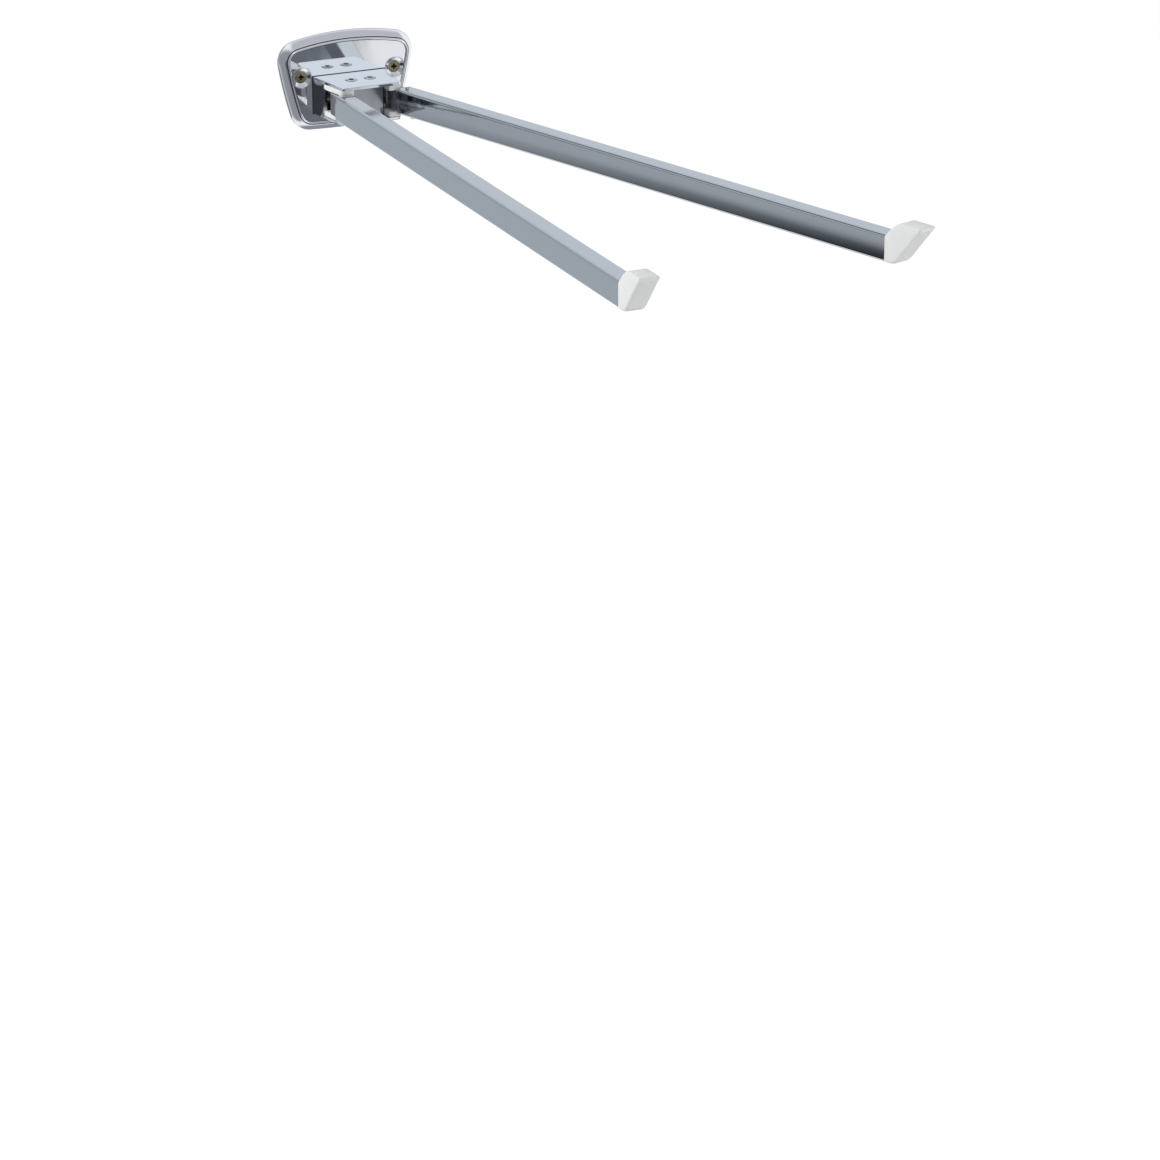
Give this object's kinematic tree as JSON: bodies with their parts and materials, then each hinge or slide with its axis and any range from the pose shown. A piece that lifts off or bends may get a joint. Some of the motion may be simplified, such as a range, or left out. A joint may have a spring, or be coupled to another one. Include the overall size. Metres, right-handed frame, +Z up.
{
  "type": "wall-mounted towel holder",
  "caption": "Wall-mounted towel holder: crowned screw-on plate, hinge bracket and long flat-sided arms that swing sideways, each ending in an upturned cap.",
  "frame": {"origin": "on the wall plane at the back of the plate, on the plate's middle line, at the arms' mid height", "axes": "+Z up, +Y into the wall, +X to the right for someone who faces the wall; the arms reach out along -Y"},
  "size_m": [0.1663, 0.4551, 0.0537],
  "materials": {
    "chromed_plate": "mirror",
    "chromed_bracket": "polished",
    "satin_zinc_alloy": "satin",
    "yellow_zinc_steel": "yellow zinc plated",
    "plain_steel": "turned",
    "nickel_rivet": "nickel plated",
    "anodised_aluminium": "bright anodised",
    "pale_plastic": "satin",
    "bearing_plastic": "natural"
  },
  "bodies": {
    "wall_unit": {"block_rivets": "nickel_rivet", "bracket_screws": "plain_steel", "hinge_bracket": "chromed_bracket", "left_lower_bearing_pad": "bearing_plastic", "left_pivot_pin": "plain_steel", "left_upper_bearing_pad": "bearing_plastic", "right_lower_bearing_pad": "bearing_plastic", "right_pivot_pin": "plain_steel", "right_upper_bearing_pad": "bearing_plastic", "spacer_block": "satin_zinc_alloy", "wall_plate": "chromed_plate", "wall_screws": "yellow_zinc_steel"},
    "left_arm": {"left_arm_tube": "anodised_aluminium", "left_end_cap": "pale_plastic", "left_hinge_knuckle": "satin_zinc_alloy", "left_tube_rivet": "nickel_rivet"},
    "right_arm": {"right_arm_tube": "anodised_aluminium", "right_end_cap": "pale_plastic", "right_hinge_knuckle": "satin_zinc_alloy", "right_tube_rivet": "nickel_rivet"}
  },
  "joints": [
    {"name": "left_arm_swing", "type": "hinge", "parent": "wall_unit", "child": "left_arm", "pos_m": [-0.01596, -0.0268, 0], "axis": [0, 0, -1], "range_deg": [-2.57, 87.43]},
    {"name": "right_arm_swing", "type": "hinge", "parent": "wall_unit", "child": "right_arm", "pos_m": [0.01596, -0.0268, 0], "axis": [0, 0, 1], "range_deg": [-15.2, 74.8]}
  ]
}
